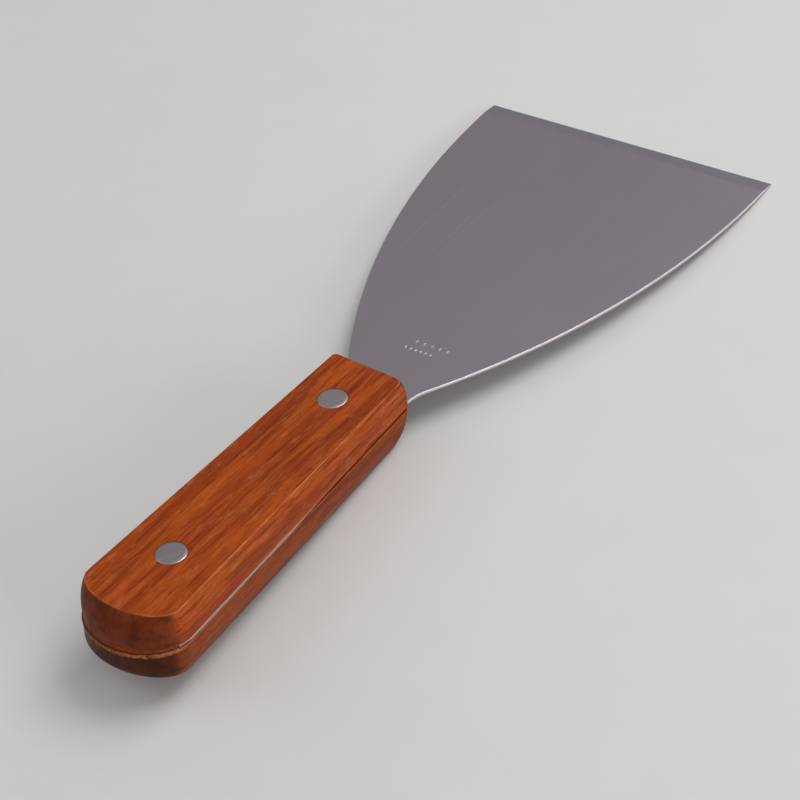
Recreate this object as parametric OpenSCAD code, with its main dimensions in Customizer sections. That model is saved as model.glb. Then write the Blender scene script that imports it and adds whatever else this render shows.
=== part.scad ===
// Drywall taping knife with a full tang and a riveted two-piece wooden handle.
// The long axis is Y with the working edge at +Y, the sheet lies flat, and +Z is up.
// The origin is under the middle of the whole knife, at the height of the handle's underside.

/* [Blade] */
// Free length of the blade, from the front of the handle to the working edge
blade_len = 140; // [120:1:160]
// Width of the blade where it is widest
edge_w = 100; // [90:1:110]
// Thickness of the sheet, blade and tang
sheet_t = 1; // [0.8:0.1:1.4]
// Radius of the long curved sides
side_r = 245; // [225:5:270]
// Distance behind the working edge at which the blade is widest
widest_back = 4; // [0:1:8]
// Width of the sheet where it enters the handle
neck_w = 23; // [21:0.5:24]
// Radius of the fillets between neck and sides
neck_fillet_r = 15; // [10:1:18]
// Width of the ground bevel along the working edge
bevel_w = 5; // [3:0.5:8]
// Thickness left at the working edge
edge_t = 0.45; // [0.3:0.05:0.6]

/* [Tang] */
// Length of the tang inside the handle
tang_len = 104.7; // [95:0.1:105]
// Distance behind the handle's front from which the tang runs close to the sides of the wood
tang_full_y = 58; // [40:1:90]
// Distance from there on between the tang's edges and the sides of the wood
tang_set_in = 0.2; // [0.1:0.1:1]

/* [Handle] */
// Length of the handle
handle_len = 114; // [114:1:120]
// Width at the front, measured at the seam
front_w = 25.8; // [25:0.2:28]
// Width at the rear, where the butt starts to round
rear_w = 32.8; // [32.6:0.2:36]
// Thickness over both scales
handle_t = 20; // [18:0.5:22]
// Height of the plain upright part of the long sides, above and below the seam
side_flat = 3.5; // [3:0.5:4]
// Radius of the roll-over from the long sides to the flat faces
roll_r = 15; // [12:0.5:20]
// Length of the rounded butt at the seam
butt_len = 12.8; // [10:0.2:13.4]
// Length of the rounded butt at the outer face of a scale
face_butt_len = 7.4; // [5:0.2:10]
// Radius of the upper scale's sloping end face, seen from the side
upper_end_r = 13.5; // [12:0.5:20]
// Radius of the lower scale's rounded end, seen from the side
lower_end_r = 5; // [2:0.5:8]
// Step by which the lower scale stands out past the upper one at the butt
butt_step = 0.4; // [0:0.1:0.8]

/* [Rivets] */
// Distance from the handle's front to the front rivet
front_rivet_y = 16.6; // [14:0.2:24]
// Distance between the two rivets
rivet_gap = 70; // [60:1:76]
// Diameter of the rivet heads
head_d = 8.3; // [7:0.1:9]
// Thickness of the rivet heads
head_t = 1.5; // [1:0.1:2]
// Outer diameter of the tubular sleeves
sleeve_d = 5; // [4.4:0.1:5.4]
// Diameter of the solid studs, and of the bores that they are pressed into
stud_d = 3.4; // [2.8:0.1:3.6]

/* [Hidden] */

steel = [0.62, 0.61, 0.63];
rivet_steel = [0.55, 0.54, 0.55];
upper_wood = [0.61, 0.28, 0.09];
lower_wood = [0.54, 0.24, 0.09];

overlap = 0.5;
hole_clearance = 0.1;
pocket_end_gap = 0.5;
bore_floor = 1;
stud_end_gap = 1;

half_t = handle_t / 2;
butt_start = handle_len - butt_step - butt_len;
front_y = (handle_len - blade_len) / 2;
rivet_ys = [-front_rivet_y, -front_rivet_y - rivet_gap];

// Centres of the blade's side curves, and of the neck fillets that touch them
side_x = side_r - edge_w / 2;
side_y = blade_len - widest_back;
fillet_x = neck_w / 2 + neck_fillet_r;
centre_gap = side_r + neck_fillet_r;
fillet_y = side_y - sqrt(pow(centre_gap, 2) - pow(fillet_x + side_x, 2));
touch_a = asin((side_y - fillet_y) / centre_gap);
edge_a = asin(widest_back / side_r);
side_steps = 40;
fillet_steps = 10;

// Heights above the seam at which the outline of a scale is stacked up, and the steps round its butt
roll_steps = 6;
levels = [0, side_flat, for (i = [1 : roll_steps])
    side_flat + (half_t - side_flat) * pow(i / roll_steps, 0.8)];
butt_steps = 40;

// How far the long sides have drawn in at height h from the seam
function side_in(h) =
    h <= side_flat ? 0 : roll_r - sqrt(pow(roll_r, 2) - pow(h - side_flat, 2));

// How far an end face of radius r, upright up to height flat, has drawn in at height h
function end_in(h, flat, r) =
    h <= flat ? 0 : r - sqrt(pow(r, 2) - pow(h - flat, 2));

// Puts a piece drawn from the handle's front edge and the sheet's middle in its place
module in_place() {
    translate([0, front_y, half_t]) children();
}

// Half the width of the wood at the seam, at distance d behind the handle's front
function wood_half(d) =
    d < butt_start ? (front_w + (rear_w - front_w) * d / butt_start) / 2
                   : rear_w / 2 * sqrt(1 - pow((d - butt_start) / butt_len, 2));

// Right-hand side of the sheet from the tang's rear corner to the working edge
function sheet_side() = concat(
    [for (d = [tang_len, min(butt_start, tang_len - 1), tang_full_y]) [wood_half(d) - tang_set_in, -d]],
    [for (i = [0 : fillet_steps]) let (a = touch_a * i / fillet_steps)
        [fillet_x - neck_fillet_r * cos(a), fillet_y + neck_fillet_r * sin(a)]],
    [for (i = [1 : side_steps]) let (a = -touch_a + (touch_a + edge_a) * i / side_steps)
        [side_r * cos(a) - side_x, side_y + side_r * sin(a)]]);

module sheet_outline() {
    right = sheet_side();
    last = len(right) - 1;
    polygon(concat(right, [for (i = [last : -1 : 0]) [-right[i][0], right[i][1]]]));
}

// Wedge that grinds the upper face down towards the working edge
module edge_grind() {
    slope = atan((sheet_t - edge_t) / bevel_w);
    translate([-edge_w, blade_len - bevel_w, sheet_t / 2])
        rotate([-slope, 0, 0])
            cube([2 * edge_w, 3 * bevel_w, sheet_t * 2]);
}

module blade() {
    color(steel) in_place() difference() {
        translate([0, 0, -sheet_t / 2]) linear_extrude(sheet_t) sheet_outline();
        edge_grind();
        for (y = rivet_ys)
            translate([0, y, -sheet_t]) cylinder(d = sleeve_d + hole_clearance, h = 2 * sheet_t, $fn = 48);
    }
}

// Outline of a scale at height h: straight tapering sides, and half an ellipse round the butt
function scale_ring(h, side, end, round_len) =
    let (front_half = front_w / 2 - side, rear_half = rear_w / 2 - side, y = -handle_len + end + round_len)
    concat([[front_half, 0, h]],
           [for (i = [0 : butt_steps]) let (a = 180 * i / butt_steps)
               [rear_half * cos(a), y - round_len * sin(a), h]],
           [[-front_half, 0, h]]);

// Solid stacked up from rings of equal length
module stack_rings(rings) {
    n = len(rings[0]);
    top = (len(rings) - 1) * n;
    polyhedron(
        points = [for (ring = rings) each ring],
        faces = concat(
            [[for (k = [n - 1 : -1 : 0]) k], [for (k = [0 : n - 1]) top + k]],
            [for (i = [0 : len(rings) - 2]) for (k = [0 : n - 1]) let (low = i * n, next = (k + 1) % n)
                [low + k, low + next, low + n + next, low + n + k]]),
        convexity = 2);
}

// One wooden scale, seam downwards: end_flat and end_r shape its end face, and short shortens it
module scale(end_flat, end_r, short) {
    difference() {
        stack_rings([for (h = levels)
            scale_ring(h, side_in(h), short + end_in(h, end_flat, end_r),
                       butt_len + (face_butt_len - butt_len) * pow(h / half_t, 2))]);
        translate([-front_w, -tang_len - pocket_end_gap, -sheet_t / 2])
            cube([2 * front_w, tang_len + 2 * pocket_end_gap, sheet_t]);
        for (y = rivet_ys) {
            translate([0, y, -overlap])
                cylinder(d = sleeve_d + hole_clearance, h = handle_t, $fn = 48);
            translate([0, y, half_t - head_t])
                cylinder(d = head_d + hole_clearance, h = 2 * head_t, $fn = 64);
        }
    }
}

module upper_scale() {
    color(upper_wood) in_place() scale(0, upper_end_r, butt_step);
}

module lower_scale() {
    color(lower_wood) in_place() mirror([0, 0, 1]) scale(half_t - lower_end_r, lower_end_r, 0);
}

// Solid half of a rivet: a flat head in the upper scale, on a stud that reaches down into the sleeve
module rivet_stud(y) {
    stud_len = handle_t - 2 * head_t - bore_floor - stud_end_gap;
    in_place() translate([0, y, half_t - head_t]) {
        cylinder(d = head_d, h = head_t, $fn = 64);
        translate([0, 0, -stud_len]) cylinder(d = stud_d, h = stud_len + overlap, $fn = 48);
    }
}

// Tubular half of a rivet: a flat head in the lower scale, and a sleeve bored from above
module rivet_sleeve(y) {
    sleeve_len = handle_t - 2 * head_t - stud_end_gap;
    in_place() translate([0, y, -half_t]) difference() {
        union() {
            cylinder(d = head_d, h = head_t, $fn = 64);
            translate([0, 0, head_t - overlap])
                cylinder(d = sleeve_d, h = sleeve_len + overlap, $fn = 48);
        }
        translate([0, 0, head_t + bore_floor]) cylinder(d = stud_d, h = handle_t, $fn = 48);
    }
}

module front_rivet_stud() {
    color(rivet_steel) rivet_stud(rivet_ys[0]);
}

module front_rivet_sleeve() {
    color(rivet_steel) rivet_sleeve(rivet_ys[0]);
}

module rear_rivet_stud() {
    color(rivet_steel) rivet_stud(rivet_ys[1]);
}

module rear_rivet_sleeve() {
    color(rivet_steel) rivet_sleeve(rivet_ys[1]);
}

blade();
upper_scale();
lower_scale();
front_rivet_stud();
front_rivet_sleeve();
rear_rivet_stud();
rear_rivet_sleeve();
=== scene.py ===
"""Finished pieces, finishes and stage of a drywall taping knife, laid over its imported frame.

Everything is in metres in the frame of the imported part: +Y runs along the knife to the working
edge, +Z is up, and the sheet of the blade and tang lies flat at half the handle's thickness.
"""

import math

import bmesh
import bpy
from mathutils import Matrix, Vector


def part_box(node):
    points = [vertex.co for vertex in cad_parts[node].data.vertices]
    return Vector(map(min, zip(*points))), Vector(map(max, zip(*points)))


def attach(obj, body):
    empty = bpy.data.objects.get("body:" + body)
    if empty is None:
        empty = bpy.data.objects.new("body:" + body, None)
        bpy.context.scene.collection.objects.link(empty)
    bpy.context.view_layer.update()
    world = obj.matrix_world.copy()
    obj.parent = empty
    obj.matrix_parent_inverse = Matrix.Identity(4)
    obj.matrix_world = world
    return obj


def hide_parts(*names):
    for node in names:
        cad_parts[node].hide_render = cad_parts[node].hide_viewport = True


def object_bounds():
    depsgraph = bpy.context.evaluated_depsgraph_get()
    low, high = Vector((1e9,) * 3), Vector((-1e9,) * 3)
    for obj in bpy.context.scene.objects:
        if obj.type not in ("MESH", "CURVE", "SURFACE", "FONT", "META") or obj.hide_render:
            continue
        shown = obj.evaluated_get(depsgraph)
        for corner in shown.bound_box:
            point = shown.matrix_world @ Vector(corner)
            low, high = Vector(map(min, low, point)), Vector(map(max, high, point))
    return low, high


bl_info = {
    "name": "Taping Knife",
    "version": (1, 0, 0),
    "blender": (4, 5, 0),
    "location": "3D View > Sidebar > Taping Knife",
    "description": "Builds the pieces, finishes and stage of a wooden-handled taping knife",
    "category": "Object",
}

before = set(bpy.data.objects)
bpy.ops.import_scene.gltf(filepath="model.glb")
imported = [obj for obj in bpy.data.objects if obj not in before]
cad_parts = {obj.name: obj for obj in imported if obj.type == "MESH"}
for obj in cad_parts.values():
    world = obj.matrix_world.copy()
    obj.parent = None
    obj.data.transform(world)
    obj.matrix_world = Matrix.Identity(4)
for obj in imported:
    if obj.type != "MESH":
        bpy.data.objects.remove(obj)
CAD_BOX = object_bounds()
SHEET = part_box("blade")
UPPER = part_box("upper_scale")
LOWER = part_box("lower_scale")
STUDS = [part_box("front_rivet_stud"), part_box("rear_rivet_stud")]
SLEEVES = [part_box("front_rivet_sleeve"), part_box("rear_rivet_sleeve")]
MM = 0.001
TINY = 0.01 * MM
WELD = 0.001 * MM
HOLE_PLAY = 0.1 * MM
SLOT_END_GAP = 0.5 * MM


# Sizes and colours

def length(name, description, default):
    return bpy.props.FloatProperty(name=name, description=description, default=default, min=0,
                                   subtype="DISTANCE", unit="LENGTH", precision=5)


def angle(name, description, degrees):
    return bpy.props.FloatProperty(name=name, description=description, default=math.radians(degrees),
                                   subtype="ANGLE")


def colour(name, description, default):
    return bpy.props.FloatVectorProperty(name=name, description=description, default=default, size=3,
                                         min=0, max=1, subtype="COLOR")


def share(name, description, default):
    return bpy.props.FloatProperty(name=name, description=description, default=default, min=0, max=1,
                                   subtype="FACTOR")


class SheetSizes(bpy.types.PropertyGroup):
    side_radius: length("Side Radius", "Radius of the long curved sides", 0.245)
    widest_back: length("Widest Back", "Distance behind the working edge at which the blade is widest", 0.004)
    neck_width: length("Neck Width", "Width of the sheet where it enters the handle", 0.023)
    neck_fillet: length("Neck Fillet", "Radius of the fillets between neck and sides", 0.015)
    tang_full: length("Tang Full", "Distance behind the handle's front at which the tang is full", 0.058)
    tang_set_in: length("Tang Set In", "Distance from there on between the tang's edges and the wood", 0.0002)
    bevel_width: length("Bevel Width", "Width of the ground bevel along the working edge", 0.005)
    edge_thickness: length("Edge Thickness", "Thickness left at the working edge", 0.00045)
    arris: length("Arris", "Width of the dulled corners all round the sheet", 0.00008)
    mark_gap: length("Mark Gap", "Distance from the handle's front to the row of punched lozenges", 0.0245)
    mark_side: length("Mark Side", "Distance of the mark to the right of the middle", 0.004)
    mark_pitch: length("Mark Pitch", "Distance between punched lozenges", 0.0026)
    mark_rows: length("Mark Rows", "Distance between the lozenges and the strokes under them", 0.0036)
    mark_depth: length("Mark Depth", "Depth of the punched mark", 0.00012)


class HandleSizes(bpy.types.PropertyGroup):
    front_width: length("Front Width", "Width at the front, at the seam", 0.0258)
    rear_width: length("Rear Width", "Width at the rear, where the butt starts to round", 0.0328)
    side_flat: length("Side Flat", "Height of the upright part of the long sides, from the seam", 0.0035)
    roll_radius: length("Roll Radius", "Radius from the long sides over to the flat faces", 0.0148)
    butt_length: length("Butt Length", "Length of the rounded butt at the seam", 0.0128)
    face_butt_length: length("Face Butt Length", "Length of the rounded butt at the flat faces", 0.0074)
    upper_end_radius: length("Upper End Radius", "Radius of the upper scale's sloping end", 0.0135)
    lower_end_radius: length("Lower End Radius", "Radius of the lower scale's rounded end", 0.005)
    seam_corner: length("Seam Corner", "Radius of the upright front corners at the seam", 0.001)
    left_corner: length("Left Corner", "Radius of the left front corners at the flat faces", 0.0012)
    right_corner: length("Right Corner", "Radius of the right front corner at the upper flat face", 0.0026)
    worn_back: length("Worn Back", "How far the upper right front corner is worn back", 0.0011)
    front_fullness: share("Front Fullness", "How much less the upper right side rolls over in front", 0.85)
    under_corner: length("Under Corner", "Radius of the right front corner at the lower flat face", 0.0055)
    under_back: length("Under Back", "How far the lower right front corner is worn back", 0.0022)
    arris: length("Arris", "Width of the softened edges", 0.00032)
    slot_arris: length("Slot Arris", "Width of the softened edges of the slot", 0.00022)
    tear: length("Tear", "How far the fibres are torn along the seam at the butt", 0.0002)


class RivetSizes(bpy.types.PropertyGroup):
    crown: length("Crown", "Height of the slight crown on the heads", 0.00004)
    rim: length("Rim", "Width of the chamfered rim of the heads", 0.00016)
    stud_width: length("Stud Width", "Diameter of the solid studs", 0.0034)
    sleeve_width: length("Sleeve Width", "Outer diameter of the tubular sleeves", 0.005)
    head_thickness: length("Head Thickness", "Thickness of the heads", 0.0015)
    play: length("Play", "Gap round the heads in the wood", 0.0001)


class Finishes(bpy.types.PropertyGroup):
    upper_wood: colour("Upper Wood", "Main colour of the upper scale", (0.36, 0.050, 0.0020))
    # Painted shade: the lower scale gets a darker copy of the wood's colour, standing for the shade under the
    # handle.
    shaded_lower_wood: colour("Lower Wood", "Main colour of the lower scale", (0.19, 0.025, 0.0015))
    dark_streak: colour("Dark Streaks", "Colour of the dark streaks in the wood", (0.12, 0.010, 0.001))
    pale_streak: colour("Pale Streaks", "Colour of the pale bands in the wood", (0.46, 0.090, 0.005))
    fleck: colour("Flecks", "Colour of the tan figure in the wood", (0.45, 0.155, 0.042))
    end_wood: colour("End Wood", "Colour of the end grain at the butt and the front", (0.135, 0.022, 0.003))
    # Pale raw wood, painted where an edge is rubbed bare and along the softened edges as a painted highlight.
    bare_wood_and_highlight: colour("Raw Wood", "Colour of the wood where an edge is rubbed bare", (0.56, 0.18, 0.062))
    varnish: share("Varnish", "Strength of the satin varnish on the wood", 0.06)
    steel: colour("Blade Steel", "Colour of the blade and tang", (0.435, 0.388, 0.432))
    # Near-white steel, used for scratches and painted as a highlight on the sheet's edge walls, its arrises
    # and the rivets' rims.
    scratch_and_highlight_steel: colour("Bright Steel", "Colour of the sheet's edges and rivets' rims", (0.93, 0.91, 0.93))
    rivet: colour("Rivet Steel", "Colour of the rivets", (0.41, 0.36, 0.37))


class StageSizes(bpy.types.PropertyGroup):
    heading: angle("Camera Heading", "How far the camera is turned round the knife", 39.0)
    pitch: angle("Camera Pitch", "How far the camera looks down", 38.858)
    roll: angle("Camera Roll", "How far the camera is rolled", 6.861)
    distance: length("Camera Distance", "Distance from the camera to its aim", 0.6619)
    aim: bpy.props.FloatVectorProperty(
        name="Aim", description="Point that the camera looks at", default=(0.0089, -0.0119, 0.01),
        subtype="TRANSLATION", unit="LENGTH")
    lens: bpy.props.FloatProperty(
        name="Lens", description="Focal length in millimetres", default=107.95, min=1)
    floor: colour("Floor", "Colour of the floor and backdrop", (0.72, 0.72, 0.715))


SETTINGS = {
    "knife_sheet": SheetSizes,
    "knife_handle": HandleSizes,
    "knife_rivets": RivetSizes,
    "knife_finishes": Finishes,
    "knife_stage": StageSizes,
}


def wood_half(wood, back):
    """Half the width of the upper scale at the seam, at a distance behind the handle's front."""
    start = UPPER[1].y - UPPER[0].y - wood.butt_length
    if back < start:
        return (wood.front_width + (wood.rear_width - wood.front_width) * back / start) / 2
    return wood.rear_width / 2 * math.sqrt(1 - ((back - start) / wood.butt_length) ** 2)


# Workbench

def set_down():
    """Back to object mode, with nothing selected."""
    if bpy.context.mode != "OBJECT":
        bpy.ops.object.mode_set(mode="OBJECT")
    bpy.ops.object.select_all(action="DESELECT")


def take(piece, editing=True):
    """Selects one piece alone, in edit mode if it is to be edited."""
    set_down()
    bpy.context.view_layer.objects.active = piece
    piece.select_set(True)
    if editing:
        bpy.ops.object.mode_set(mode="EDIT")
        bpy.ops.mesh.select_mode(type="VERT")
        bpy.ops.mesh.select_all(action="DESELECT")


def new_piece(name, add, **how):
    """A new primitive in edit mode, named, with its place in its mesh and all of it selected."""
    set_down()
    add(**how)
    piece = bpy.context.object
    piece.name = piece.data.name = name
    bpy.ops.object.transform_apply(location=True, rotation=True, scale=True)
    take(piece)
    bpy.ops.mesh.select_all(action="SELECT")
    return piece


def new_point(name, place):
    """A new piece that is one selected point, from which an outline is drawn."""
    piece = new_piece(name, bpy.ops.mesh.primitive_plane_add, size=MM, location=place)
    bpy.ops.mesh.merge(type="CENTER")
    return piece


def choose(piece, test, kind="verts"):
    """In edit mode, selects only the points, edges or faces that pass a test."""
    mesh = bmesh.from_edit_mesh(piece.data)
    bpy.ops.mesh.select_mode(type={"verts": "VERT", "edges": "EDGE", "faces": "FACE"}[kind])
    bpy.ops.mesh.select_all(action="DESELECT")
    found = [part for part in getattr(mesh, kind) if test(part)]
    for part in found:
        part.select_set(True)
    mesh.select_flush_mode()
    bmesh.update_edit_mesh(piece.data)
    if not found:
        raise RuntimeError(f"{piece.name}: nothing there to select")


def middle(part):
    if isinstance(part, bmesh.types.BMFace):
        return part.calc_center_median()
    return (part.verts[0].co + part.verts[1].co) / 2


def near(place):
    """Test for the one point at a place."""
    return lambda v: (v.co - Vector(place)).length < TINY


def draw_to(place):
    """Draws a straight line from the selected point."""
    piece = bpy.context.object
    here = next(v.co.copy() for v in bmesh.from_edit_mesh(piece.data).verts if v.select)
    bpy.ops.mesh.extrude_vertices_move(TRANSFORM_OT_translate={"value": Vector(place) - here})


def draw_arc(centre, turn, steps, end):
    """Draws an arc from the selected point round a centre, and makes sure that it ends where it should."""
    bpy.ops.mesh.spin(steps=steps, angle=turn, center=centre, axis=(0, 0, 1))
    piece = bpy.context.object
    here = [v.co for v in bmesh.from_edit_mesh(piece.data).verts if v.select]
    if len(here) != 1 or (here[0] - Vector(end)).length > 0.02 * MM:
        raise RuntimeError(f"{piece.name}: an arc ends at {here} and not at {tuple(end)}")


def raise_face(step):
    bpy.ops.mesh.extrude_region_move(TRANSFORM_OT_translate={"value": step})


def face_outwards():
    bpy.ops.mesh.select_all(action="SELECT")
    bpy.ops.mesh.remove_doubles(threshold=WELD)
    bpy.ops.mesh.normals_make_consistent(inside=False)


def modify(piece, kind, **settings):
    """Adds a modifier and applies it."""
    take(piece, editing=False)
    modifier = piece.modifiers.new(kind, kind)
    for name, value in settings.items():
        setattr(modifier, name, value)
    bpy.ops.object.modifier_apply(modifier=modifier.name)


def soften(piece, width, segments, degrees):
    """Softens the sharp edges, and leaves the new narrow faces marked for the finish."""
    while len(piece.data.materials) < 2:
        piece.data.materials.append(None)
    modify(piece, "BEVEL", width=width, segments=segments, limit_method="ANGLE",
           angle_limit=math.radians(degrees), material=1)


def mark_softened_edges(piece):
    """Notes at every point whether it lies inside a softened edge, where the finishes paint rubbing and a
    highlight.
    """
    mesh = piece.data
    inside = [1] * len(mesh.vertices)
    for face in mesh.polygons:
        for v in face.vertices:
            inside[v] = min(inside[v], face.material_index)
        face.material_index = 0
    mesh.attributes.new("rubbed", "FLOAT", "POINT").data.foreach_set("value", inside)


def cut(piece, tool):
    """Cuts a piece with a tool, and clears the tool away."""
    modify(piece, "BOOLEAN", object=tool, operation="DIFFERENCE", solver="EXACT")
    bpy.data.meshes.remove(tool.data)


def block(low, high):
    """A plain cutting block between two corners."""
    low, high = Vector(low), Vector(high)
    tool = new_piece("block", bpy.ops.mesh.primitive_cube_add, size=1, location=(low + high) / 2,
                     scale=high - low)
    set_down()
    return tool


def drill(place, width, depth):
    """A round cutting tool, standing up from a place."""
    tool = new_piece("drill", bpy.ops.mesh.primitive_cylinder_add, vertices=64, radius=width / 2,
                     depth=depth, location=Vector(place) + Vector((0, 0, depth / 2)))
    set_down()
    return tool


def smooth(piece, degrees=30):
    """Smooths the curved surfaces, and keeps the flat ones flat."""
    take(piece, editing=False)
    bpy.ops.object.shade_smooth_by_angle(angle=math.radians(degrees))
    modify(piece, "WEIGHTED_NORMAL", keep_sharp=True, weight=50)


def hand_over(piece, material, slot, *nodes):
    """Gives a finished piece its material, its body, and the nodes that it stands for; the slot is not used.
    """
    take(piece, editing=False)
    mark_softened_edges(piece)
    piece.data.materials.clear()
    piece.data.materials.append(material)
    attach(piece, "root")
    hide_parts(*nodes)
    set_down()


# Effects that several finishes share

def new_group(name, inputs, outputs):
    """A shader node group with its sockets, and its input and output nodes."""
    group = bpy.data.node_groups.new(name, "ShaderNodeTree")
    for socket, kind, default in inputs:
        made = group.interface.new_socket(name=socket, in_out="INPUT", socket_type=kind)
        if default is not None:
            made.default_value = default
    for socket, kind in outputs:
        group.interface.new_socket(name=socket, in_out="OUTPUT", socket_type=kind)
    return group, group.nodes.new("NodeGroupInput"), group.nodes.new("NodeGroupOutput")


def add(tree, kind, settings=None, **wires):
    """A node with its settings, and its inputs given as values or wired from other sockets."""
    node = tree.nodes.new(kind)
    for name, value in (settings or {}).items():
        setattr(node, name, value)
    for name, value in wires.items():
        key = int(name[1:]) if name[0] == "i" and name[1:].isdigit() else name.replace("_", " ")
        socket = node.inputs[key]
        if isinstance(value, bpy.types.NodeSocket):
            tree.links.new(value, socket)
        else:
            socket.default_value = value
    return node


def sum_of(tree, operation, *values, clamp=False):
    """The result of one sum."""
    wires = {f"i{i}": value for i, value in enumerate(values)}
    return add(tree, "ShaderNodeMath", {"operation": operation, "use_clamp": clamp}, **wires).outputs[0]


def times(tree, first, second, clamp=False):
    return sum_of(tree, "MULTIPLY", first, second, clamp=clamp)


def plus(tree, first, second, clamp=False):
    return sum_of(tree, "ADD", first, second, clamp=clamp)


def step(tree, value, low, high, to_low=0.0, to_high=1.0):
    """A soft step of a value, from to_low under low to to_high over high."""
    return add(tree, "ShaderNodeMapRange", {"interpolation_type": "SMOOTHSTEP"}, Value=value,
               From_Min=low, From_Max=high, To_Min=to_low, To_Max=to_high).outputs[0]


def stretch(tree, vector, scale, shift=(0, 0, 0), turn=(0, 0, 0)):
    return add(tree, "ShaderNodeMapping", {"vector_type": "POINT"}, Vector=vector, Scale=scale,
               Location=shift, Rotation=turn).outputs[0]


def noise(tree, vector, scale, detail=3.0, roughness=0.5, distortion=0.0):
    return add(tree, "ShaderNodeTexNoise", {"noise_dimensions": "3D"}, Vector=vector, Scale=scale,
               Detail=detail, Roughness=roughness, Distortion=distortion).outputs["Fac"]


def grey(tree, value):
    """A colour with the same value in red, green and blue."""
    return add(tree, "ShaderNodeCombineColor", Red=value, Green=value, Blue=value).outputs[0]


def part_of(tree, vector, axis):
    """One part of a vector."""
    return add(tree, "ShaderNodeSeparateXYZ", Vector=vector).outputs[axis]


def scaled(tint, by):
    return [c * by for c in tint]


def mix(tree, share_of, first, second, blend="MIX"):
    node = tree.nodes.new("ShaderNodeMix")
    node.data_type = "RGBA"
    node.blend_type = blend
    sockets = [s for s in node.inputs if s.enabled]
    for socket, value in zip(sockets, (share_of, first, second)):
        if isinstance(value, bpy.types.NodeSocket):
            tree.links.new(value, socket)
        elif isinstance(value, (int, float)):
            socket.default_value = value
        else:
            socket.default_value = (*value, 1) if len(value) == 3 else value
    return next(s for s in node.outputs if s.enabled)


def place_group(tree, group, **wires):
    node = add(tree, "ShaderNodeGroup")
    node.node_tree = group
    for name, value in wires.items():
        socket = node.inputs[name.replace("_", " ")]
        if isinstance(value, bpy.types.NodeSocket):
            tree.links.new(value, socket)
        else:
            socket.default_value = value
    return node.outputs


def shared(name, build):
    """The shared group of that name, built once."""
    return bpy.data.node_groups.get(name) or build(name)


def build_edge_wear_and_highlight(name):
    """How far a softened edge is worn and painted with a highlight: 0 on the faces, up to 1 along the edge,
    broken up by noise.
    """
    tree, given, out = new_group(
        name,
        [("Vector", "NodeSocketVector", None), ("Rubbed", "NodeSocketFloat", 0.0),
         ("Break Up", "NodeSocketFloat", 900.0)],
        [("Mask", "NodeSocketFloat")])
    broken = noise(tree, given.outputs["Vector"], given.outputs["Break Up"], 3, 0.6)
    mask = times(tree, given.outputs["Rubbed"], step(tree, broken, 0.38, 0.58, 0.2, 1.0), clamp=True)
    tree.links.new(mask, out.inputs["Mask"])
    return tree


def build_drawn_lines(name):
    """Fine lines drawn one way by an abrasive, and a few deeper scratches."""
    tree, given, out = new_group(
        name,
        [("Vector", "NodeSocketVector", None), ("Across", "NodeSocketFloat", 4000.0),
         ("Along", "NodeSocketFloat", 60.0)],
        [("Lines", "NodeSocketFloat"), ("Scratches", "NodeSocketFloat")])
    scale = add(tree, "ShaderNodeCombineXYZ", X=given.outputs["Across"], Y=given.outputs["Along"],
                Z=given.outputs["Across"]).outputs[0]
    vector = add(tree, "ShaderNodeVectorMath", {"operation": "MULTIPLY"}, i0=given.outputs["Vector"],
                 i1=scale).outputs[0]
    fine = noise(tree, vector, 1.0, 4, 0.65)
    coarse = noise(tree, vector, 0.23, 2, 0.5)
    lines = plus(tree, times(tree, fine, 0.6), times(tree, coarse, 0.4))
    scratches = step(tree, noise(tree, vector, 0.11, 1, 0.4), 0.70, 0.76)
    tree.links.new(lines, out.inputs["Lines"])
    tree.links.new(scratches, out.inputs["Scratches"])
    return tree


def build_handling(name):
    """Soft patches of a surface that has been handled: finger smears, and specks of dust."""
    tree, given, out = new_group(
        name, [("Vector", "NodeSocketVector", None), ("Size", "NodeSocketFloat", 60.0)],
        [("Smears", "NodeSocketFloat"), ("Specks", "NodeSocketFloat")])
    smears = noise(tree, given.outputs["Vector"], given.outputs["Size"], 4, 0.55, 0.6)
    specks = noise(tree, given.outputs["Vector"], times(tree, given.outputs["Size"], 28.0), 2, 0.4)
    tree.links.new(step(tree, smears, 0.35, 0.68), out.inputs["Smears"])
    tree.links.new(step(tree, specks, 0.735, 0.77), out.inputs["Specks"])
    return tree


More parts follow.
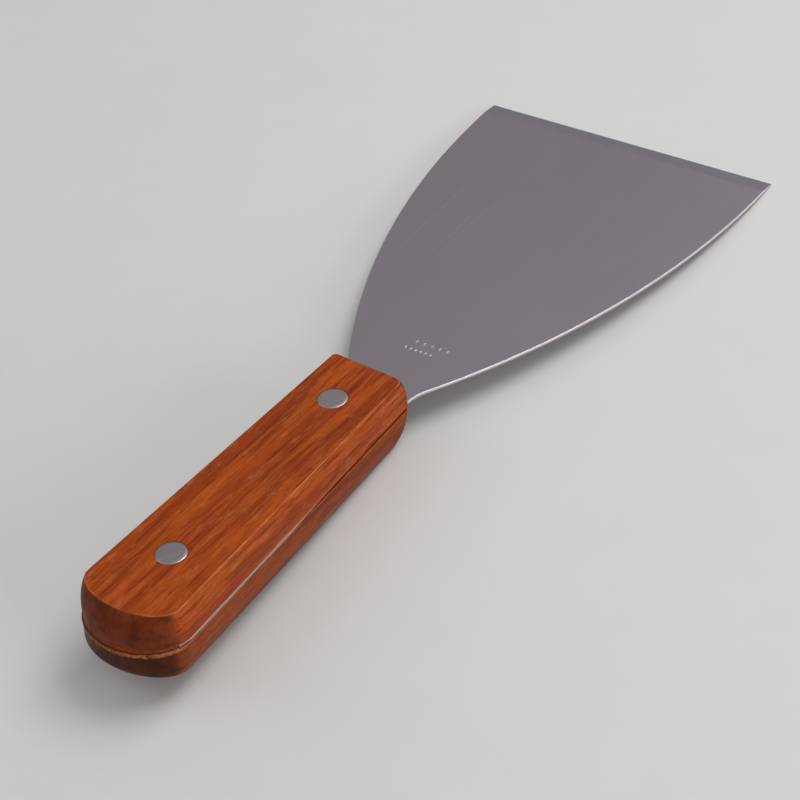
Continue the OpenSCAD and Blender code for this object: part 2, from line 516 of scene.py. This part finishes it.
def build_wood_grain(name):
    """Wood grain running along Y: bands, dark streaks, fibres, pores, and short pale figure."""
    tree, given, out = new_group(
        name,
        [("Vector", "NodeSocketVector", None), ("Wander", "NodeSocketFloat", 0.7)],
        [("Bands", "NodeSocketFloat"), ("Streaks", "NodeSocketFloat"), ("Fibres", "NodeSocketFloat"),
         ("Pores", "NodeSocketFloat"), ("Figure", "NodeSocketFloat")])
    vector = given.outputs["Vector"]
    drift = noise(tree, stretch(tree, vector, (0.07, 0.018, 0.07)), 1.0, 3, 0.5)
    drift = times(tree, sum_of(tree, "SUBTRACT", drift, 0.5), given.outputs["Wander"])
    sway = add(tree, "ShaderNodeCombineXYZ", X=times(tree, drift, 4.0), Z=drift).outputs[0]
    wavy = add(tree, "ShaderNodeVectorMath", {"operation": "ADD"}, i0=vector, i1=sway).outputs[0]
    bands = noise(tree, stretch(tree, wavy, (0.30, 0.010, 0.22)), 1.0, 2, 0.45)
    streaks = noise(tree, stretch(tree, wavy, (0.95, 0.030, 0.80), (31, 7, 3)), 1.0, 4, 0.62)
    fibres = noise(tree, stretch(tree, wavy, (4.6, 0.11, 4.6), (5, 19, 11)), 1.0, 4, 0.7)
    pores = noise(tree, stretch(tree, wavy, (5.2, 0.42, 5.2), (17, 2, 23)), 1.0, 1.5, 0.5)
    figure = noise(tree, stretch(tree, wavy, (0.50, 0.13, 0.5), (3, 41, 13)), 1.0, 4, 0.7, 0.4)
    for socket, value in (
        ("Bands", step(tree, bands, 0.30, 0.70)),
        ("Streaks", step(tree, streaks, 0.50, 0.68)),
        ("Fibres", fibres),
        ("Pores", step(tree, pores, 0.655, 0.73)),
        ("Figure", step(tree, figure, 0.52, 0.75)),
    ):
        tree.links.new(value, out.inputs[socket])
    return tree


def new_finish(name):
    """An empty finish: its tree, its shader, and the piece's own coordinates."""
    material = bpy.data.materials.new(name)
    material.use_nodes = True
    tree = material.node_tree
    shader = tree.nodes["Principled BSDF"]
    coordinates = add(tree, "ShaderNodeTexCoord").outputs
    return material, tree, shader, coordinates


def edge_wear_and_highlight(tree, place, break_up):
    """The worn edges of this piece, which also carry a painted highlight."""
    rubbed = add(tree, "ShaderNodeAttribute", {"attribute_name": "rubbed"}).outputs["Fac"]
    group = shared("Worn Edge", build_edge_wear_and_highlight)
    return place_group(tree, group, Vector=place, Rubbed=rubbed, Break_Up=break_up)["Mask"]


def drawn_lines(tree, place, across, along):
    group = shared("Drawn Lines", build_drawn_lines)
    return place_group(tree, group, Vector=place, Across=across, Along=along)


def handled(tree, place, size):
    return place_group(tree, shared("Handling", build_handling), Vector=place, Size=size)


def varnished_wood(name, look, main, depth, shift, seam_z, seam_up):
    """Varnished wood, darker on its end grain, with rubbed edges painted pale as wear and as a painted
    highlight, and a bare line at the butt's seam.
    """
    material, tree, shader, coordinates = new_finish(name)
    place = coordinates["Object"]
    grain_place = stretch(tree, place, (1000, 1000, 1000), shift, (0.02, 0.0, 0.022))
    grain = place_group(tree, shared("Wood Grain", build_wood_grain), Vector=grain_place)
    wear_and_highlight = edge_wear_and_highlight(tree, place, 160.0)
    handling = handled(tree, place, 55.0)
    facing = sum_of(tree, "ABSOLUTE", part_of(tree, coordinates["Normal"], "Y"))
    end_grain = step(tree, facing, 0.22, 0.60)

    # Painted shade: depth darkens every tint of the lower scale, for the shade under the handle; it is 1 on
    # the upper scale.
    def shaded(tint, by=1.0):
        return [c * depth * by for c in tint]

    tone = mix(tree, times(tree, grain["Bands"], 0.65), main, shaded(look.pale_streak))
    deep = [0.68 * c + 0.32 * d * depth for c, d in zip(main, look.dark_streak)]
    tone = mix(tree, times(tree, step(tree, grain["Bands"], 0.55, 0.05), 0.8), tone, deep)
    tone = mix(tree, times(tree, grain["Streaks"], 0.72), tone, shaded(look.dark_streak))
    fibre_tone = step(tree, grain["Fibres"], 0.25, 0.75, 0.56, 1.40)
    tone = mix(tree, 1.0, tone, grey(tree, fibre_tone), "MULTIPLY")
    tone = mix(tree, times(tree, grain["Figure"], 0.68), tone, shaded(look.fleck))
    tone = mix(tree, times(tree, grain["Pores"], 0.75), tone, shaded(look.dark_streak, 0.6))
    blotch = step(tree, noise(tree, stretch(tree, place, (210, 90, 330)), 1.0, 4, 0.65), 0.3, 0.7, 0.45, 1.5)
    # Painted shade: the lower scale's end grain is darkened once more by depth squared.
    end_tone = mix(tree, 1.0, shaded(look.end_wood, depth ** 2), grey(tree, blotch), "MULTIPLY")
    tone = mix(tree, times(tree, end_grain, 0.90), tone, end_tone)
    tone = mix(tree, times(tree, handling["Specks"], 0.50), tone, shaded(look.fleck))

    height_up = times(tree, sum_of(tree, "SUBTRACT", part_of(tree, place, "Z"), seam_z), seam_up)
    ragged = noise(tree, place, 900.0, 3, 0.7)
    line = times(tree, step(tree, height_up, 0.0014, 0.0009), step(tree, facing, 0.10, 0.35))
    line = times(tree, line, 1.0 if seam_up < 0 else 0.25)
    bare_and_highlight = times(tree, line, step(tree, ragged, 0.38, 0.56, 0.1, 0.8))
    # The softened edges are painted raw-wood pale, partly as wear and partly as a painted highlight along the
    # ridge.
    rubbed = times(tree, wear_and_highlight, step(tree, end_grain, 0.1, 0.7, 0.62, 0.25))
    bare_and_highlight = sum_of(tree, "MAXIMUM", bare_and_highlight, rubbed)
    tone = mix(tree, bare_and_highlight, tone, look.bare_wood_and_highlight)

    roughness = plus(tree, step(tree, grain["Fibres"], 0.2, 0.8, 0.38, 0.48),
                       times(tree, handling["Smears"], 0.09))
    roughness = plus(tree, roughness, times(tree, bare_and_highlight, 0.25), clamp=True)
    relief = sum_of(tree, "SUBTRACT", times(tree, grain["Fibres"], 0.30),
                    times(tree, grain["Pores"], 0.8))
    relief = plus(tree, relief, times(tree, grain["Streaks"], -0.15))
    bump = add(tree, "ShaderNodeBump", Strength=0.35, Distance=0.00006, Height=relief).outputs[0]
    tree.links.new(tone, shader.inputs["Base Color"])
    tree.links.new(roughness, shader.inputs["Roughness"])
    tree.links.new(bump, shader.inputs["Normal"])
    tree.links.new(times(tree, sum_of(tree, "SUBTRACT", 1.0, bare_and_highlight, clamp=True), look.varnish),
                   shader.inputs["Coat Weight"])
    shader.inputs["Coat Roughness"].default_value = 0.30
    shader.inputs["Specular IOR Level"].default_value = 0.14
    return material


def ground_steel(name, look, bevel_y):
    """Satin steel of the blade: faint lines, a ground bevel, a painted highlight on the edges, smears and
    scratches.
    """
    material, tree, shader, coordinates = new_finish(name)
    place = coordinates["Object"]
    lines = drawn_lines(tree, place, 5200.0, 70.0)
    ground = drawn_lines(tree, place, 7600.0, 160.0)
    handling = handled(tree, place, 26.0)
    wear_and_highlight = edge_wear_and_highlight(tree, place, 700.0)
    along = part_of(tree, place, "Y")
    up = part_of(tree, coordinates["Normal"], "Z")
    bevel = step(tree, along, bevel_y - 0.0001, bevel_y + 0.0001)
    high = part_of(tree, place, "Z")
    # Painted highlight: the sheet's side walls are painted near-white steel, brightest at their upper part
    # and outside the handle.
    wall = times(tree, step(tree, sum_of(tree, "ABSOLUTE", up), 0.75, 0.35),
                  step(tree, high, SHEET[0].z + 0.25 * MM, SHEET[0].z + 0.55 * MM, 0.2, 1.0))
    wall = times(tree, wall, step(tree, along, UPPER[1].y - 2 * MM, UPPER[1].y + 2 * MM, 0.25, 1.0))
    dim, bright = scaled(look.steel, 0.985), scaled(look.steel, 1.015)
    tone = mix(tree, step(tree, lines["Lines"], 0.35, 0.65), dim, bright)
    dim, bright = [[c * d for c, d in zip(look.steel, by)] for by in ((0.88, 0.94, 0.94), (0.95, 1.0, 1.0))]
    bevel_tone = mix(tree, step(tree, ground["Lines"], 0.35, 0.65), dim, bright)
    tone = mix(tree, bevel, tone, bevel_tone)
    tone = mix(tree, times(tree, handling["Smears"], 0.05), tone, scaled(look.steel, 0.80))
    tone = mix(tree, times(tree, lines["Scratches"], 0.06), tone, look.scratch_and_highlight_steel)
    # The painted highlight on the walls joins the worn arrises, which are partly wear and partly painted
    # highlight; both are painted near-white.
    highlight_and_wear = sum_of(tree, "MAXIMUM", wall, times(tree, wear_and_highlight, 0.8))
    pit = times(tree, step(tree, high, SHEET[1].z - 0.02 * MM, SHEET[1].z - 0.07 * MM),
                 step(tree, high, SHEET[1].z - 0.30 * MM, SHEET[1].z - 0.20 * MM))
    pit = times(tree, pit, sum_of(tree, "SUBTRACT", 0.35, bevel, clamp=True))
    tone = mix(tree, sum_of(tree, "MAXIMUM", highlight_and_wear, pit), tone, look.scratch_and_highlight_steel)
    roughness = plus(tree, step(tree, lines["Lines"], 0.3, 0.7, 0.37, 0.40),
                       times(tree, handling["Smears"], 0.02))
    roughness = sum_of(tree, "SUBTRACT", roughness, times(tree, highlight_and_wear, 0.12), clamp=True)
    height = sum_of(tree, "SUBTRACT", times(tree, lines["Lines"], 0.5),
                    times(tree, lines["Scratches"], 0.5))
    height = plus(tree, height, times(tree, times(tree, ground["Lines"], bevel), 0.6))
    bump = add(tree, "ShaderNodeBump", Strength=0.07, Distance=0.00001, Height=height).outputs[0]
    tree.links.new(tone, shader.inputs["Base Color"])
    tree.links.new(roughness, shader.inputs["Roughness"])
    tree.links.new(bump, shader.inputs["Normal"])
    shader.inputs["Metallic"].default_value = 1.0
    return material


def rivet_steel(name, look):
    """Satin steel of the rivets, rubbed crosswise, with a painted highlight on the rims."""
    material, tree, shader, coordinates = new_finish(name)
    place = stretch(tree, coordinates["Object"], (1, 1, 1), turn=(0, 0, 0.6))
    lines = drawn_lines(tree, place, 3800.0, 160.0)
    handling = handled(tree, place, 170.0)
    up = part_of(tree, coordinates["Normal"], "Z")
    # Painted highlight: the chamfered rims and the shank's sides are painted near-white steel.
    rim = step(tree, sum_of(tree, "ABSOLUTE", up), 0.97, 0.85)
    dim, bright = scaled(look.rivet, 0.93), scaled(look.rivet, 1.06)
    tone = mix(tree, step(tree, lines["Lines"], 0.35, 0.65), dim, bright)
    tone = mix(tree, times(tree, handling["Smears"], 0.16), tone, scaled(look.rivet, 0.76))
    tone = mix(tree, times(tree, rim, 0.7), tone, look.scratch_and_highlight_steel)
    roughness = plus(tree, step(tree, lines["Lines"], 0.3, 0.7, 0.36, 0.44),
                       times(tree, handling["Smears"], 0.06))
    roughness = sum_of(tree, "SUBTRACT", roughness, times(tree, rim, 0.14))
    bump = add(tree, "ShaderNodeBump", Strength=0.2, Distance=0.00001, Height=lines["Lines"]).outputs[0]
    tree.links.new(tone, shader.inputs["Base Color"])
    tree.links.new(roughness, shader.inputs["Roughness"])
    tree.links.new(bump, shader.inputs["Normal"])
    shader.inputs["Metallic"].default_value = 1.0
    return material


def paper_floor(name, tint):
    """Matt studio paper, with a trace of fibre."""
    material, tree, shader, coordinates = new_finish(name)
    mottle = noise(tree, coordinates["Object"], 45.0, 4, 0.6)
    tone = mix(tree, step(tree, mottle, 0.3, 0.7), scaled(tint, 0.985), tint)
    bump = add(tree, "ShaderNodeBump", Strength=0.04, Distance=0.0002,
               Height=noise(tree, coordinates["Object"], 1400.0, 3, 0.6)).outputs[0]
    tree.links.new(tone, shader.inputs["Base Color"])
    tree.links.new(bump, shader.inputs["Normal"])
    shader.inputs["Roughness"].default_value = 0.85
    shader.inputs["Specular IOR Level"].default_value = 0.2
    return material


# Pieces

class KNIFE_OT_sheet(bpy.types.Operator):
    """Blade and tang, cut from one sheet of steel, with its ground bevel and a small punched mark"""

    bl_idname = "taping_knife.sheet"
    bl_label = "Blade and Tang"

    def execute(self, context):
        size = context.scene.knife_sheet
        low, high = SHEET
        side_y = high.y - size.widest_back
        side_x = size.side_radius - high.x
        front_y = UPPER[1].y
        fillet_x = size.neck_width / 2 + size.neck_fillet
        reach = size.side_radius + size.neck_fillet
        fillet_y = side_y - math.sqrt(reach ** 2 - (fillet_x + side_x) ** 2)
        touch = math.asin((side_y - fillet_y) / reach)
        tip = math.asin(size.widest_back / size.side_radius)
        z = low.z

        def on_side(turn):
            x, y = size.side_radius * math.cos(turn), size.side_radius * math.sin(turn)
            return Vector((x - side_x, y + side_y, z))

        corner = on_side(tip)
        sheet = new_point("blade_and_tang", corner)
        draw_arc((-side_x, side_y, z), tip + touch, 56, on_side(-touch))
        neck = Vector((size.neck_width / 2, fillet_y, z))
        draw_arc((fillet_x, fillet_y, z), -touch, 14, neck)
        wood = context.scene.knife_handle
        for back in (size.tang_full, front_y - UPPER[0].y - wood.butt_length, front_y - low.y):
            draw_to((wood_half(wood, back) - size.tang_set_in, front_y - back, z))
        draw_to((0, low.y, z))
        choose(sheet, near(corner))
        draw_to((0, high.y, z))
        modify(sheet, "MIRROR", use_clip=True)
        take(sheet)
        bpy.ops.mesh.select_all(action="SELECT")
        bpy.ops.mesh.edge_face_add()
        raise_face((0, 0, high.z - z))
        face_outwards()
        drop = high.z - z - size.edge_thickness
        slope = Vector((0, drop, size.bevel_width)).normalized()
        bpy.ops.mesh.bisect(plane_co=(0, high.y - size.bevel_width, high.z), plane_no=slope, use_fill=True,
                            clear_outer=True, threshold=WELD)
        face_outwards()
        soften(sheet, size.arris, 2, 40)
        hole = context.scene.knife_rivets.sleeve_width + HOLE_PLAY
        for stud in STUDS:
            place = (stud[0] + stud[1]) / 2
            cut(sheet, drill((place.x, place.y, z - MM), hole, 3 * MM))
        self.punch(sheet, size, front_y, high.z)
        smooth(sheet, 5.5)
        finish = ground_steel("Ground Steel", context.scene.knife_finishes, high.y - size.bevel_width)
        hand_over(sheet, finish, "blade_steel", "blade")
        return {"FINISHED"}

    def punch(self, sheet, size, front_y, top_z):
        """Punches the mark: a row of lozenges over a row of slim strokes, all with sloping sides."""
        for count, pitch, wide, left, back in (
            (5, size.mark_pitch, 1.6, -5.2, 0), (6, 0.65 * size.mark_pitch, 0.8, -6.8, size.mark_rows),
        ):
            x, y = size.mark_side + left * MM, front_y + size.mark_gap - back
            punch = new_piece("punch", bpy.ops.mesh.primitive_cylinder_add, vertices=4, radius=1.25 * MM,
                              depth=2 * size.mark_depth, location=(x, y, top_z))
            bpy.ops.transform.resize(value=(wide / 2.5, 1, 1), center_override=(x, y, top_z))
            choose(punch, lambda f: f.normal.z < -0.9, "faces")
            bpy.ops.transform.resize(value=(0.45, 0.6, 1), center_override=(x, y, top_z - size.mark_depth))
            modify(punch, "ARRAY", count=count, use_relative_offset=False, use_constant_offset=True,
                   constant_offset_displace=(pitch, 0, 0))
            cut(sheet, punch)


class KNIFE_OT_scales(bpy.types.Operator):
    """The two wooden scales, built up from the seam, slotted for the tang and bored for the rivets"""

    bl_idname = "taping_knife.scales"
    bl_label = "Wooden Scales"

    def execute(self, context):
        size = context.scene.knife_handle
        look = context.scene.knife_finishes
        seam_z = UPPER[0].z
        for name, node, box, up, upright, end_radius, main, depth, shift in (
            ("upper_scale_wood", "upper_scale", UPPER, 1, 0.0, size.upper_end_radius,
             look.upper_wood, 1.0, (0, 0, 0)),
            # Painted shade: the lower scale takes a darker colour and a depth of 0.68 that darkens its tints.
            ("lower_scale_wood", "lower_scale", LOWER, -1, None, size.lower_end_radius,
             look.shaded_lower_wood, 0.68, (37, 55, 21)),
        ):
            scale = self.lay_up(name, box, up, upright, end_radius, size, seam_z)
            self.slot_and_bore(scale, up, seam_z, size, context.scene.knife_rivets)
            smooth(scale, 32)
            finish = varnished_wood(name.replace("_", " ").title(), look, main, depth, shift, seam_z, up)
            hand_over(scale, finish, "handle_wood", node)
        return {"FINISHED"}

    def lay_up(self, name, box, up, upright, end_radius, size, seam_z):
        """One solid scale, drawn round at the seam and raised ring by ring to its flat face."""
        low, high = box
        thick = (high.z - low.z)
        upright = thick - end_radius if upright is None else upright
        steps = 13
        heights = [0, size.side_flat] + [
            size.side_flat + (thick - size.side_flat) * (i / steps) ** 0.85 for i in range(1, steps + 1)]

        def side_in(h):
            over = max(0, h - size.side_flat)
            return size.roll_radius - math.sqrt(size.roll_radius ** 2 - over ** 2)

        def end_in(h):
            over = max(0, h - upright)
            return end_radius - math.sqrt(max(0, end_radius ** 2 - over ** 2))

        def butt(h):
            return size.butt_length + (size.face_butt_length - size.butt_length) * (h / thick) ** 2

        def corner(hand, h):
            right = size.right_corner if up > 0 else size.under_corner
            at_face = right if hand > 0 else size.left_corner
            return size.seam_corner + (at_face - size.seam_corner) * (h / thick) ** (3 if up > 0 else 1)

        def worn_back(hand, h):
            back = size.worn_back * (h / thick) ** 4 if up > 0 else size.under_back * (h / thick) ** 2
            return back if hand > 0 else 0

        front, rear, r = size.front_width / 2, size.rear_width / 2, size.seam_corner
        y, z = high.y, seam_z
        round_y = low.y + size.butt_length
        scale = new_point(name, (front - r, y, z))
        draw_arc((front - r, y - r, z), math.pi / 2, 4, (front, y - r, z))
        draw_to((rear, round_y, z))
        draw_arc((0, round_y, z), math.pi, 64, (-rear, round_y, z))
        draw_to((-front, y - r, z))
        draw_arc((-front + r, y - r, z), math.pi / 2, 4, (-front + r, y, z))
        choose(scale, lambda v: v.co.y < round_y + TINY)
        bpy.ops.transform.resize(value=(1, size.butt_length / rear, 1), center_override=(0, round_y, z))
        bpy.ops.mesh.select_all(action="SELECT")
        bpy.ops.mesh.edge_face_add()
        for last, h in zip(heights, heights[1:]):
            choose(scale, lambda f: abs(f.normal.z) > 0.9 and abs(middle(f).z - z) < TINY, "faces")
            raise_face((0, 0, up * (h - last)))
            z = seam_z + up * h
            draw_in = side_in(h) - side_in(last)
            new_round_y = low.y + end_in(h) + butt(h)
            choose(scale, lambda v: abs(v.co.z - z) < TINY and v.co.y < round_y + TINY)
            grow = ((rear - side_in(h)) / (rear - side_in(last)), butt(h) / butt(last), 1)
            bpy.ops.transform.resize(value=grow, center_override=(0, round_y, z))
            bpy.ops.transform.translate(value=(0, new_round_y - round_y, 0))
            round_y = new_round_y
            for hand in (1, -1):
                choose(scale, lambda v: abs(v.co.z - z) < TINY and v.co.y > y - 10 * MM and hand * v.co.x > 0)
                grow = corner(hand, h) / corner(hand, last)
                share_in = 1 - size.front_fullness if hand > 0 and up > 0 else 1
                back = worn_back(hand, h)
                bpy.ops.transform.translate(
                    value=(-hand * share_in * draw_in, worn_back(hand, last) - back, 0))
                bpy.ops.transform.resize(
                    value=(grow, grow, 1),
                    center_override=(hand * (front - share_in * side_in(h)), y - back, z))
        face_outwards()
        soften(scale, size.arris, 5, 38)
        return scale

    def slot_and_bore(self, scale, up, seam_z, size, rivet):
        """Cuts the slot for the tang, softens its edges, tears the butt's seam, and bores for the rivets."""
        front_y, wide = UPPER[1].y, size.rear_width
        half = (SHEET[1].z - SHEET[0].z) / 2
        end_y = SHEET[0].y - SLOT_END_GAP
        cut(scale, block((-wide, end_y, seam_z - half), (wide, front_y + MM, seam_z + half)))
        take(scale)
        slot_z = seam_z + up * half
        choose(scale, lambda e: abs(middle(e).z - slot_z) < TINY and e.is_convex
               and e.calc_face_angle(0) > 0.6, "edges")
        bpy.ops.mesh.bevel(offset=size.slot_arris, segments=3, affect="EDGES", clamp_overlap=False,
                           material=1)
        lip_y = SHEET[0].y - 0.8 * MM
        lip = 0.7 * MM
        choose(scale, lambda e: abs(middle(e).z - seam_z) < lip and middle(e).y < lip_y
               and (e.verts[0].co - e.verts[1].co).length < 3 * MM, "edges")
        bpy.ops.mesh.subdivide(number_cuts=2, quadcorner="INNERVERT")
        choose(scale, lambda v: abs(v.co.z - seam_z) < lip and v.co.y < lip_y)
        bpy.ops.transform.vertex_random(offset=size.tear, uniform=0.1, normal=0.0, seed=11)
        for head in STUDS if up > 0 else SLEEVES:
            x, y = (head[0].x + head[1].x) / 2, (head[0].y + head[1].y) / 2
            wide = head[1].x - head[0].x
            floor_z = head[1].z - rivet.head_thickness if up > 0 else head[0].z + rivet.head_thickness
            cut(scale, drill((x, y, min(floor_z, floor_z + up * 3 * MM)), wide + 2 * rivet.play, 3 * MM))
            through = UPPER[1].z - LOWER[0].z + 2 * MM
            cut(scale, drill((x, y, LOWER[0].z - MM), rivet.sleeve_width + HOLE_PLAY, through))


class KNIFE_OT_rivets(bpy.types.Operator):
    """The two-part rivets: studs with a flat head above, pressed into sleeves with a flat head below"""

    bl_idname = "taping_knife.rivets"
    bl_label = "Rivets"

    def execute(self, context):
        size = context.scene.knife_rivets
        finish = rivet_steel("Rivet Steel", context.scene.knife_finishes)
        for where, stud, sleeve in zip(("front", "rear"), STUDS, SLEEVES):
            piece = self.turn_half(f"{where}_stud_half", stud, 1, size.stud_width, size, 0)
            hand_over(piece, finish, "rivet_steel", f"{where}_rivet_stud")
            piece = self.turn_half(
                f"{where}_sleeve_half", sleeve, -1, size.sleeve_width, size, size.stud_width)
            hand_over(piece, finish, "rivet_steel", f"{where}_rivet_sleeve")
        return {"FINISHED"}

    def turn_half(self, name, box, up, shank, size, bore):
        """Half a rivet: shank, head with a chamfered rim and a slight crown, and bore if it has one."""
        low, high = box
        x, y = (low.x + high.x) / 2, (low.y + high.y) / 2
        head = (high.x - low.x) / 2
        far_z, face_z = (low.z, high.z) if up > 0 else (high.z, low.z)
        under_z = face_z - up * size.head_thickness

        def resize(by, z):
            bpy.ops.transform.resize(value=(by, by, 1), center_override=(x, y, z))

        piece = new_piece(name, bpy.ops.mesh.primitive_circle_add, vertices=96, radius=shank / 2,
                          fill_type="NGON", location=(x, y, far_z))
        raise_face((0, 0, under_z - far_z))
        raise_face((0, 0, 0))
        resize(2 * head / shank, under_z)
        raise_face((0, 0, face_z - up * size.rim * 0.5 - under_z))
        raise_face((0, 0, up * size.rim * 0.5))
        resize((head - size.rim) / head, face_z)
        radius = head - size.rim
        for part in (0.8, 0.6, 0.4, 0.2):
            shrink = part * (head - size.rim) / radius
            radius *= shrink
            rise = up * size.crown * (1 - part ** 2)
            raise_face((0, 0, 0))
            resize(shrink, face_z)
            mesh = bmesh.from_edit_mesh(piece.data)
            here = next(v.co.z for v in mesh.verts if v.select)
            bpy.ops.transform.translate(value=(0, 0, face_z + rise - here))
        if bore:
            choose(piece, lambda f: abs(middle(f).z - far_z) < TINY, "faces")
            raise_face((0, 0, 0))
            resize(bore / shank, far_z)
            raise_face((0, 0, face_z - up * (size.head_thickness + MM) - far_z))
        face_outwards()
        smooth(piece, 30)
        return piece


class KNIFE_OT_stage(bpy.types.Operator):
    """Pale floor with a coved backdrop, soft studio lights and the camera"""

    bl_idname = "taping_knife.stage"
    bl_label = "Stage"

    def execute(self, context):
        size = context.scene.knife_stage
        self.lay_floor(size)
        for name, place, width, depth, power, tint in (
            ("key_softbox", (0.35, 0.55, 1.15), 0.9, 0.7, 8.5, (1.0, 0.985, 0.96)),
            ("side_softbox", (1.05, -0.15, 0.35), 0.7, 0.4, 4.0, (1.0, 0.99, 0.98)),
            ("fill_softbox", (-0.9, -0.5, 0.9), 0.8, 0.8, 2.0, (0.95, 0.97, 1.0)),
        ):
            self.hang(name, place, width, depth, power, tint)
        self.light_room()
        self.set_camera(context, size)
        context.scene.view_settings.view_transform = "Standard"
        context.scene.view_settings.look = "None"
        return {"FINISHED"}

    def lay_floor(self, size):
        """A round floor that sweeps up into a low wall, tilted so that the knife rests on it."""
        flat, cove, wall = 1.5, 0.7, 0.95
        floor = new_piece("paper_floor", bpy.ops.mesh.primitive_circle_add, vertices=96, radius=flat,
                          fill_type="NGON", location=(0, 0, 0))
        choose(floor, lambda e: middle(e).length > 0.9 * flat, "edges")
        steps = 12
        radius, height = flat, 0.0
        for i in range(1, steps + 1):
            turn = math.radians(90) * i / steps
            new_radius = flat + cove * math.sin(turn)
            new_height = cove * (1 - math.cos(turn))
            bpy.ops.mesh.extrude_edges_move(TRANSFORM_OT_translate={"value": (0, 0, new_height - height)})
            grow = new_radius / radius
            bpy.ops.transform.resize(value=(grow, grow, 1), center_override=(0, 0, new_height))
            radius, height = new_radius, new_height
        bpy.ops.mesh.extrude_edges_move(TRANSFORM_OT_translate={"value": (0, 0, wall - height)})
        face_outwards()
        bpy.ops.mesh.flip_normals()
        take(floor, editing=False)
        front_y = UPPER[1].y
        rise = math.atan2(SHEET[0].z - CAD_BOX[0].z, SHEET[1].y - front_y)
        below = Matrix.Translation((0, front_y, CAD_BOX[0].z - 0.1 * MM))
        floor.data.transform(below @ Matrix.Rotation(rise, 4, "X"))
        bpy.ops.object.shade_smooth_by_angle(angle=math.radians(40))
        floor.data.materials.append(paper_floor("Studio Paper", size.floor))
        set_down()

    def hang(self, name, place, width, depth, power, tint):
        """One softbox, facing the middle of the knife."""
        set_down()
        bpy.ops.object.light_add(type="AREA", location=place)
        lamp = bpy.context.object
        lamp.name = lamp.data.name = name
        lamp.rotation_euler = (-Vector(place)).to_track_quat("-Z", "Y").to_euler()
        lamp.data.shape = "RECTANGLE"
        lamp.data.size, lamp.data.size_y = width, depth
        lamp.data.energy = power
        lamp.data.color = tint

    def light_room(self):
        """Even light from the room."""
        world = bpy.data.worlds.new("Studio")
        bpy.context.scene.world = world
        world.use_nodes = True
        background = world.node_tree.nodes["Background"]
        background.inputs["Color"].default_value = (0.94, 0.95, 0.97, 1)
        background.inputs["Strength"].default_value = 0.36

    def set_camera(self, context, size):
        """The camera, from its heading, pitch, roll and distance."""
        set_down()
        bpy.ops.object.camera_add()
        camera = bpy.context.object
        camera.name = camera.data.name = "camera"
        turn, pitch, roll = size.heading, size.pitch, size.roll
        level = math.cos(pitch)
        ahead = Vector((-math.sin(turn) * level, math.cos(turn) * level, -math.sin(pitch)))
        across = Vector((math.cos(turn), math.sin(turn), 0))
        under = ahead.cross(across)
        right = math.cos(roll) * across + math.sin(roll) * under
        down = math.cos(roll) * under - math.sin(roll) * across
        axes = Matrix((right, -down, -ahead)).transposed().to_4x4()
        camera.matrix_world = Matrix.Translation(Vector(size.aim) - ahead * size.distance) @ axes
        camera.data.lens = size.lens
        camera.data.sensor_width = 36
        camera.data.clip_start, camera.data.clip_end = 0.01, 20
        context.scene.camera = camera


OPERATORS = (KNIFE_OT_sheet, KNIFE_OT_scales, KNIFE_OT_rivets, KNIFE_OT_stage)


class KNIFE_PT_panel(bpy.types.Panel):
    """Taping knife: its sizes, its colours and its pieces"""

    bl_label = "Taping Knife"
    bl_space_type = "VIEW_3D"
    bl_region_type = "UI"
    bl_category = "Taping Knife"

    def draw(self, context):
        for name, group in SETTINGS.items():
            column = self.layout.column(align=True)
            for prop in group.__annotations__:
                column.prop(getattr(context.scene, name), prop)
        for operator in OPERATORS:
            self.layout.operator(operator.bl_idname)


def register():
    for kind in (*SETTINGS.values(), *OPERATORS, KNIFE_PT_panel):
        bpy.utils.register_class(kind)
    for name, group in SETTINGS.items():
        setattr(bpy.types.Scene, name, bpy.props.PointerProperty(type=group))


def unregister():
    for name in SETTINGS:
        delattr(bpy.types.Scene, name)
    for kind in (KNIFE_PT_panel, *reversed(OPERATORS), *reversed(SETTINGS.values())):
        bpy.utils.unregister_class(kind)


def main():
    register()
    bpy.ops.taping_knife.sheet()
    bpy.ops.taping_knife.scales()
    bpy.ops.taping_knife.rivets()
    bpy.ops.taping_knife.stage()
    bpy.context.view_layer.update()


if __name__ == "__main__":
    main()
